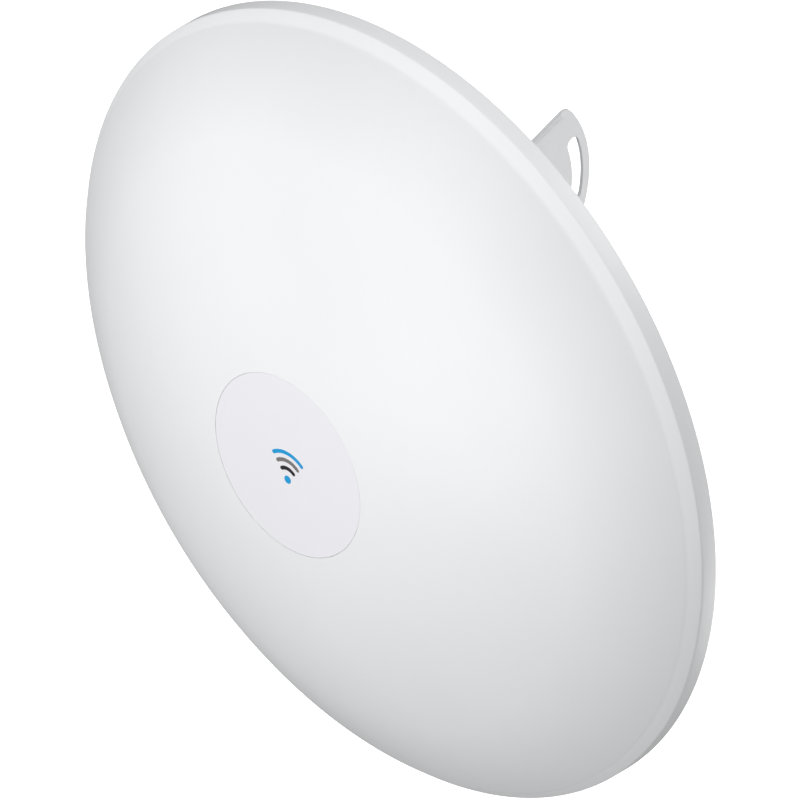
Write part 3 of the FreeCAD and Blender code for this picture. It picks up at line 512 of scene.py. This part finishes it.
def make_radome(white):
    """The shell: rim and chamfer with small rounds, the dome, the cap's recess and the inside."""
    rim = [
        (SKIRT_INNER, 0),
        (RIM_RADIUS, 0),
        (RIM_RADIUS, SKIRT_DEPTH),
        (DOME_EDGE, SKIRT_DEPTH + CHAMFER_DEPTH),
        (DOME_START, dome_depth(DOME_RADIUS, DOME_START)),
    ]
    outer = rounded(rim, EDGE_ROUND)[CORNER_POINTS:-CORNER_POINTS]
    recess = DISC_DEPTH - CAP_THICK
    inside = recess - SHELL_WALL
    inner_radius = DOME_RADIUS - SHELL_WALL
    inner_flat = math.sqrt(inner_radius**2 - (inside - DOME_CENTRE) ** 2)
    outline = [(SKIRT_INNER, 0), *outer]
    outline += dome_arc(DOME_RADIUS, DOME_START, DISC_RADIUS, OUTER_ARC_STEPS)[1:]
    outline += [(DISC_RADIUS, recess), (AXIS_END, recess), (AXIS_END, inside), (inner_flat, inside)]
    outline += dome_arc(inner_radius, inner_flat, LEDGE_RADIUS, INNER_ARC_STEPS)[1:]
    outline += [
        (LEDGE_RADIUS, LEDGE_DEPTH),
        (SKIRT_INNER, LEDGE_DEPTH),
        (SKIRT_INNER, GROOVE_FRONT),
        (GROOVE_RADIUS, GROOVE_FRONT),
        (GROOVE_RADIUS, GROOVE_BACK),
        (SKIRT_INNER, GROOVE_BACK),
    ]
    mesh = bmesh.new()
    lathe(mesh, outline, RIM_CENTRE, FORWARD, ROUND_STEPS)
    radome = new_piece("radome", mesh, white, "dish_head", TURNED_SHARP)
    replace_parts(radome, "radome_shell")


def make_cap(white):
    """The flat disc at the dome's top, let into its recess."""
    recess = DISC_DEPTH - CAP_THICK
    lip = [
        (CAP_RADIUS - CAP_LIP, recess),
        (CAP_RADIUS, recess),
        (CAP_RADIUS, DISC_DEPTH),
        (CAP_RADIUS - CAP_LIP, DISC_DEPTH),
    ]
    edge = rounded(lip, CAP_ROUND)[CORNER_POINTS:3 * CORNER_POINTS]
    outline = [(AXIS_END, recess), *edge, (AXIS_END, DISC_DEPTH)]
    mesh = bmesh.new()
    lathe(mesh, outline, RIM_CENTRE, FORWARD, ROUND_STEPS)
    cap = new_piece("cap", mesh, white, "dish_head", TURNED_SHARP)
    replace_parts(cap, "centre_cap")


DISH_RADIUS = 250 * MM
DISH_DEPTH = 91 * MM
DISH_SHEET = 1.5 * MM
DISH_RIM = 256.5 * MM
DISH_FLANGE = -5 * MM
SEAT_RADIUS = 72 * MM
SEAT_OPENING = 22 * MM


def bowl(out):
    """How far behind the rim the front of the reflector's sheet lies."""
    return DISH_FLANGE + DISH_DEPTH * (1 - (out / DISH_RADIUS) ** 2)


def make_reflector(paint):
    """The spun reflector: flat seat, soft knuckle, paraboloid and turned rim flange."""
    steps = 40
    curve = [SEAT_RADIUS + (DISH_RADIUS - SEAT_RADIUS) * step / steps for step in range(steps + 1)]
    front = [(out, -bowl(out)) for out in curve]
    back = [(out, -bowl(out) - DISH_SHEET) for out in reversed(curve)]
    seat = bowl(SEAT_RADIUS)
    outline = [(SEAT_OPENING, -seat), *front, (DISH_RIM, -DISH_FLANGE)]
    outline += [(DISH_RIM, -DISH_FLANGE - DISH_SHEET), *back, (SEAT_OPENING, -seat - DISH_SHEET)]
    mesh = bmesh.new()
    lathe(mesh, outline, RIM_CENTRE, FORWARD, ROUND_STEPS)
    dish = new_piece("reflector", mesh, paint, "dish_head", TURNED_SHARP)
    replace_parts(dish, "reflector_dish")


# ---------------------------------------------------------------- sign on the cap

SIGN_THICK = 0.15 * MM
SIGN_STROKE = 2.6 * MM
SIGN_SPREAD = math.radians(38)
SIGN_DROP = 10.5 * MM
DOT_RADIUS = 2.7 * MM
DOT_STEPS = 32
WAVE_RADII = (8 * MM, 13.5 * MM, 19 * MM)


def sign_spot(out, angle, lift):
    """A place on the cap, at a distance and an angle from up about the sign's dot."""
    return Vector((
        AXIS_X + out * math.sin(angle),
        DISC_Y - lift,
        AXIS_Z - SIGN_DROP + out * math.cos(angle),
    ))


def add_wave(mesh, radius):
    """One arc of the sign, with round ends, as a thin raised strip."""
    half = SIGN_STROKE / 2
    steps = 28
    edge = []
    for step in range(steps + 1):
        angle = -SIGN_SPREAD + 2 * SIGN_SPREAD * step / steps
        edge.append((radius + half, angle))
    cap_steps = 8
    for step in range(1, cap_steps):
        turn = math.pi * step / cap_steps
        edge.append((radius + half * math.cos(turn), SIGN_SPREAD + half * math.sin(turn) / radius))
    for step in range(steps + 1):
        angle = SIGN_SPREAD - 2 * SIGN_SPREAD * step / steps
        edge.append((radius - half, angle))
    for step in range(1, cap_steps):
        turn = math.pi * step / cap_steps
        edge.append((radius - half * math.cos(turn), -SIGN_SPREAD - half * math.sin(turn) / radius))
    add_flat_shape(mesh, edge)


def add_flat_shape(mesh, edge):
    """A thin raised shape on the cap, from its edge as (distance, angle) about the sign's dot."""
    top = [mesh.verts.new(sign_spot(out, angle, SIGN_THICK)) for out, angle in edge]
    foot = [mesh.verts.new(sign_spot(out, angle, 0)) for out, angle in edge]
    mesh.faces.new(top)
    mesh.faces.new(list(reversed(foot)))
    for index in range(len(edge)):
        after = (index + 1) % len(edge)
        mesh.faces.new((top[index], top[after], foot[after], foot[index]))


def make_sign(blue, black, grey):
    """A plain sign for a radio signal: a dot with three waves above it."""
    for number, (radius, ink) in enumerate(zip(WAVE_RADII, (black, grey, blue)), 1):
        mesh = bmesh.new()
        add_wave(mesh, radius)
        new_piece(f"sign_wave_{number}", mesh, ink, "dish_head")
    mesh = bmesh.new()
    dot = [(DOT_RADIUS, 2 * math.pi * step / DOT_STEPS) for step in range(DOT_STEPS)]
    add_flat_shape(mesh, dot)
    new_piece("sign_dot", mesh, blue, "dish_head")


# ---------------------------------------------------------------- fasteners

TURN_STEPS = 72
THREAD_DEPTH = 0.6
# Shares of a thread's pitch where the crest ends and the root lies.
CREST_END = 0.15
ROOT_PLACE = 0.55
# Shares of the distance across flats: bearing face, corners and the turned top.
BEARING = 0.48
CORNERS = 0.58
TURNED_TOP = 0.46
CHAMFER = 0.7 * MM
UNDERCUT = 0.4 * MM
# Shares of the crest's and the root's radius at the thread's tapered end.
TIP_CREST = 0.97
TIP_ROOT = 0.95
# A nut's bore: its gap round the bolt, and the width and depth of its chamfer.
BORE_GAP = 0.05 * MM
BORE_CHAMFER = 0.6 * MM
BORE_DEPTH = 0.5 * MM
# A carriage bolt's head: shares of its height in the dome and in the edge, and of its width below.
HEAD_DOME = 0.8
HEAD_EDGE = 0.2
HEAD_FOOT = 0.985
TILT_THREAD = 14 * MM
CLAMP_THREAD = 72 * MM
BRACKET_PLAIN = 2 * MM
M8 = {"radius": 4 * MM, "pitch": 1.25 * MM, "flat": 13 * MM}
M6 = {"radius": 3 * MM, "pitch": 1.0 * MM, "flat": 10 * MM}


def thread_outline(size, start, end):
    """The crests and roots of a thread, from start to end along the bolt."""
    way = 1 if end > start else -1
    root = size["radius"] - THREAD_DEPTH * size["pitch"]
    count = int(abs(end - start) / size["pitch"])
    points = []
    for turn in range(count):
        along = start + way * turn * size["pitch"]
        points.append((size["radius"], along))
        points.append((size["radius"], along + way * size["pitch"] * CREST_END))
        points.append((root, along + way * size["pitch"] * ROOT_PLACE))
    points.append((size["radius"] * TIP_CREST, start + way * count * size["pitch"]))
    points.append((root * TIP_ROOT, end))
    return points


def hex_head(size, face, top):
    """A hexagon head whose corners are turned off, standing up from its face."""
    bearing = size["flat"] * BEARING
    corner_radius = size["flat"] * CORNERS
    return [
        (AXIS_END, top),
        (size["flat"] * TURNED_TOP, top),
        (corner_radius, top - CHAMFER),
        (corner_radius, face + UNDERCUT),
        (bearing, face + UNDERCUT / 2),
        (bearing, face),
    ]


def hex_bolt(mesh, size, place, axis, head, tip, thread_start):
    """A bolt along an axis; head, tip and thread_start are measured from place, head positive."""
    outline = hex_head(size, 0, head)
    outline += [(size["radius"], 0), (size["radius"], -thread_start)]
    outline += thread_outline(size, -thread_start, -tip)
    outline.append((AXIS_END, -tip))
    lathe(mesh, outline, place, axis, TURN_STEPS, size["flat"])


def hex_nut(mesh, size, place, axis, height):
    """A nut with both faces' corners turned off and a chamfered bore."""
    bore = size["radius"] + BORE_GAP
    wide = size["flat"] * CORNERS
    face = size["flat"] * BEARING
    outline = [
        (bore, BORE_DEPTH),
        (bore + BORE_CHAMFER, 0),
        (face, 0),
        (wide, CHAMFER),
        (wide, height - CHAMFER),
        (face, height),
        (bore + BORE_CHAMFER, height),
        (bore, height - BORE_DEPTH),
    ]
    lathe(mesh, outline, place, axis, TURN_STEPS, size["flat"])


def make_tilt_fasteners(zinc):
    """The pivot and lock bolts with their nuts, along X."""
    head = 5.3 * MM
    for name in ("pivot", "lock"):
        bolt = f"{name}_bolt"
        place = (corner(bolt, 1, "x") - head, middle(bolt, "y"), middle(bolt, "z"))
        reach = place[0] - corner(bolt, 0, "x")
        mesh = bmesh.new()
        hex_bolt(mesh, M8, place, (1, 0, 0), head, reach, reach - TILT_THREAD)
        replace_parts(new_piece(f"{name}_bolt_m8", mesh, zinc, "pole_bracket"), bolt)
        nut = f"{name}_nut"
        foot = (corner(nut, 0, "x"), middle(nut, "y"), middle(nut, "z"))
        height = corner(nut, 1, "x") - corner(nut, 0, "x")
        mesh = bmesh.new()
        hex_nut(mesh, M8, foot, (1, 0, 0), height)
        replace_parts(new_piece(f"{name}_nut_m8", mesh, zinc, "pole_bracket"), nut)


def make_bracket_bolts(zinc):
    """Four M6 bolts that hold the plate to the hub, heads backwards."""
    head = 4 * MM
    back = corner("bracket_bolts", 1, "y")
    reach = back - head - corner("bracket_bolts", 0, "y")
    half = 36 * MM
    mesh = bmesh.new()
    for side in (-1, 1):
        for level in (-1, 1):
            place = (AXIS_X + side * half, back - head, AXIS_Z + level * half)
            hex_bolt(mesh, M6, place, (0, 1, 0), head, reach, BRACKET_PLAIN)
    bolts = new_piece("bracket_bolts_m6", mesh, zinc, "dish_head")
    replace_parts(bolts, "bracket_bolts")


def carriage_outline(size, head_height, head_radius, tip, thread_length):
    """A domed head, a shank and a long thread, measured from the head's bearing face."""
    outline = [(AXIS_END, head_height)]
    steps = 12
    for step in range(1, steps + 1):
        turn = math.pi / 2 * step / steps
        height = head_height * math.cos(turn) * HEAD_DOME + HEAD_EDGE * head_height
        outline.append((head_radius * math.sin(turn), height))
    thread_start = -(tip - thread_length)
    outline += [(head_radius * HEAD_FOOT, 0), (size["radius"], 0), (size["radius"], thread_start)]
    outline += thread_outline(size, thread_start, -tip)
    outline.append((AXIS_END, -tip))
    return outline


def make_clamp_fasteners(zinc):
    """The two long carriage bolts of the pole clamp, and the jaw's nuts."""
    head_height = 3.3 * MM
    head_radius = 9 * MM
    low = corner("carriage_bolts", 0, "x")
    face = corner("carriage_bolts", 1, "x") - head_height
    near = corner("carriage_bolts", 0, "y") + head_radius
    far = corner("carriage_bolts", 1, "y") - head_radius
    level = middle("carriage_bolts", "z")
    mesh = bmesh.new()
    outline = carriage_outline(M8, head_height, head_radius, face - low, CLAMP_THREAD)
    for across in (near, far):
        lathe(mesh, outline, (face, across, level), (1, 0, 0), TURN_STEPS)
    bolts = new_piece("carriage_bolts_m8", mesh, zinc, "pole_bracket")
    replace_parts(bolts, "carriage_bolts")
    nut_low = corner("clamp_nuts", 0, "x")
    height = corner("clamp_nuts", 1, "x") - nut_low
    mesh = bmesh.new()
    for across in (near, far):
        hex_nut(mesh, M8, (nut_low, across, level), (1, 0, 0), height)
    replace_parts(new_piece("clamp_nuts_m8", mesh, zinc, "clamp_jaw"), "clamp_nuts")


# ---------------------------------------------------------------- socket contacts


def add_box(mesh, low, high):
    """A box between two opposite corners."""
    made = bmesh.ops.create_cube(mesh, size=1)
    centre = (Vector(low) + Vector(high)) / 2
    extent = Vector(high) - Vector(low)
    bmesh.ops.scale(mesh, vec=extent, verts=made["verts"])
    bmesh.ops.translate(mesh, vec=centre, verts=made["verts"])


def make_contacts(gold):
    """Eight upright contacts along the front wall of the network socket."""
    count = 8
    pitch = 1.02 * MM
    half_width = 0.2 * MM
    thickness = 0.5 * MM
    length = 9 * MM
    top = corner("rj45_jack", 1, "z") - 9 * MM
    front = corner("rj45_jack", 0, "y") + 2.3 * MM
    mesh = bmesh.new()
    for number in range(count):
        across = AXIS_X + (number - (count - 1) / 2) * pitch
        low = (across - half_width, front, top - length)
        high = (across + half_width, front + thickness, top + thickness)
        add_box(mesh, low, high)
    new_piece("socket_contacts", mesh, gold, "dish_head")


# ---------------------------------------------------------------- CAD nodes that stay


def paint_nodes(paints):
    """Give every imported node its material, and smooth shading across its round faces."""
    slots = {row["node"]: row["material_slot"] for row in frame["record"]["subparts"]}
    for name, node in NODES.items():
        node.data.materials.clear()
        node.data.materials.append(paints[slots[name]])
        node.data.shade_smooth()
        node.data.set_sharp_from_angle(angle=math.radians(CAD_SHARP))


# ---------------------------------------------------------------- floor, light and camera

FLOOR_DROP = 0.12
FLOOR_REACH = 60.0
GLOW = 0.21
BACKDROP = 1.1
SOFTBOX_DISTANCE = 3.0
# Each softbox: its azimuth (0 in front of the dish, 90 on the viewer's right), elevation, width and
# power.
SOFTBOXES = {
    "front": (2, -8, 1.8, 40),
    "front_high": (-15, 32, 2.0, 35),
    "left": (-65, -8, 1.6, 8),
    "right_high": (60, 30, 1.3, 10),
    "top": (0, 80, 1.6, 11),
    "behind_low": (150, -35, 1.3, 26),
    "behind_high": (150, 40, 1.3, 34),
}


def make_floor():
    """A plain white floor below the object, as the picture's background; it sheds no light on it."""
    level = corner("radome_shell", 0, "z") - FLOOR_DROP
    mesh = bmesh.new()
    bmesh.ops.create_grid(mesh, x_segments=1, y_segments=1, size=FLOOR_REACH)
    data = bpy.data.meshes.new("floor")
    mesh.to_mesh(data)
    mesh.free()
    floor = bpy.data.objects.new("floor", data)
    floor.location = (0, 0, level)
    bpy.context.scene.collection.objects.link(floor)
    paint = Paints("floor_white")
    paint.colour(paint.two_tone(paint.noise(2, 2), (0.93, 0.93, 0.93), (0.96, 0.96, 0.96)))
    paint.fixed(Roughness=0.9, Emission_Color=(1, 1, 1, 1), Emission_Strength=1.0)
    paint.clear_from_behind()
    data.materials.append(paint.material)
    floor.visible_diffuse = False
    floor.visible_glossy = False
    floor.visible_transmission = False
    floor.visible_shadow = False


def make_world():
    """An even white studio: white to the camera, a soft grey glow on the object."""
    world = bpy.data.worlds.new("studio")
    bpy.context.scene.world = world
    world.use_nodes = True
    nodes = world.node_tree.nodes
    links = world.node_tree.links
    glow = nodes["Background"]
    glow.inputs["Strength"].default_value = GLOW
    seen = nodes.new("ShaderNodeBackground")
    seen.inputs["Color"].default_value = (1, 1, 1, 1)
    seen.inputs["Strength"].default_value = BACKDROP
    glow.inputs["Color"].default_value = (1, 1, 1, 1)
    path = nodes.new("ShaderNodeLightPath")
    mix = nodes.new("ShaderNodeMixShader")
    links.new(path.outputs["Is Camera Ray"], mix.inputs["Fac"])
    links.new(glow.outputs["Background"], mix.inputs[1])
    links.new(seen.outputs["Background"], mix.inputs[2])
    links.new(mix.outputs["Shader"], nodes["World Output"].inputs["Surface"])


def add_softbox(name, azimuth, elevation, width, power):
    """A square area light that faces the dish from a direction, a fixed distance away."""
    light = bpy.data.lights.new(name, "AREA")
    light.shape = "SQUARE"
    light.size = width
    light.energy = power
    turn = math.radians(azimuth)
    rise = math.radians(elevation)
    direction = Vector((
        math.sin(turn) * math.cos(rise), -math.cos(turn) * math.cos(rise), math.sin(rise),
    ))
    lamp = bpy.data.objects.new(name, light)
    lamp.location = Vector(RIM_CENTRE) + direction * SOFTBOX_DISTANCE
    lamp.rotation_mode = "QUATERNION"
    lamp.rotation_quaternion = direction.to_track_quat("Z", "Y")
    bpy.context.scene.collection.objects.link(lamp)


LENS = 1650
SENSOR_WIDTH = 36
CLIP_END = 60
VIEW_AZIMUTH = math.radians(44.595)
VIEW_ELEVATION = math.radians(35.037)
VIEW_DISTANCE = 22.02
# How far the middle of the view lies to the left of the rim's centre, and below it.
AIM_LEFT = 3.722
AIM_DOWN = 2.244


def make_camera():
    """A long lens, from the front, the right and above, aimed just off the rim's centre."""
    camera = bpy.data.cameras.new("camera")
    camera.lens = LENS
    camera.sensor_width = SENSOR_WIDTH
    camera.clip_end = CLIP_END
    side = Vector((math.cos(VIEW_AZIMUTH), math.sin(VIEW_AZIMUTH), 0))
    back = Vector((
        math.sin(VIEW_AZIMUTH) * math.cos(VIEW_ELEVATION),
        -math.cos(VIEW_AZIMUTH) * math.cos(VIEW_ELEVATION),
        math.sin(VIEW_ELEVATION),
    ))
    up = back.cross(side)
    target = Vector(RIM_CENTRE) - side * AIM_LEFT * MM - up * AIM_DOWN * MM
    holder = bpy.data.objects.new("camera", camera)
    holder.location = target + back * VIEW_DISTANCE
    holder.rotation_mode = "QUATERNION"
    holder.rotation_quaternion = back.to_track_quat("Z", "Y")
    bpy.context.scene.collection.objects.link(holder)
    bpy.context.scene.camera = holder


def main():
    white = radome_plastic()
    paints = {
        "radome_white": white,
        "cap_white": cap_plastic(),
        "housing_white": housing_plastic(),
        "seal_rubber": seal_rubber(),
        "reflector_metal": reflector_paint(),
        "bracket_paint": bracket_paint(),
        "spring_steel": spring_steel(),
        "zinc": zinc_plate(),
        "aluminium": machined_aluminium(),
        "dielectric": dielectric_plastic(),
        "foam": foam(),
        "thermal": gap_filler(),
        "board_green": circuit_board(),
        "shield_tin": tin_plate(),
        "switch_black": black_plastic(),
        "light_clear": clear_acrylic(),
        "membrane": vent_film(),
        "button_grey": button_plastic(),
    }
    paint_nodes(paints)
    make_radome(white)
    make_cap(paints["cap_white"])
    make_reflector(paints["reflector_metal"])
    make_sign(
        printed_ink("ink_blue", (0.0, 0.34, 0.7), (0.0, 0.31, 0.66)),
        printed_ink("ink_black", (0.012, 0.01, 0.014), (0.008, 0.007, 0.01)),
        printed_ink("ink_grey", (0.2, 0.19, 0.185), (0.18, 0.17, 0.165)),
    )
    make_tilt_fasteners(paints["zinc"])
    make_bracket_bolts(paints["zinc"])
    make_clamp_fasteners(paints["zinc"])
    make_contacts(gold_plate())
    make_floor()
    make_world()
    for name, (azimuth, elevation, width, power) in SOFTBOXES.items():
        add_softbox(name, azimuth, elevation, width, power)
    make_camera()
    bpy.context.scene.view_settings.view_transform = "Standard"


main()
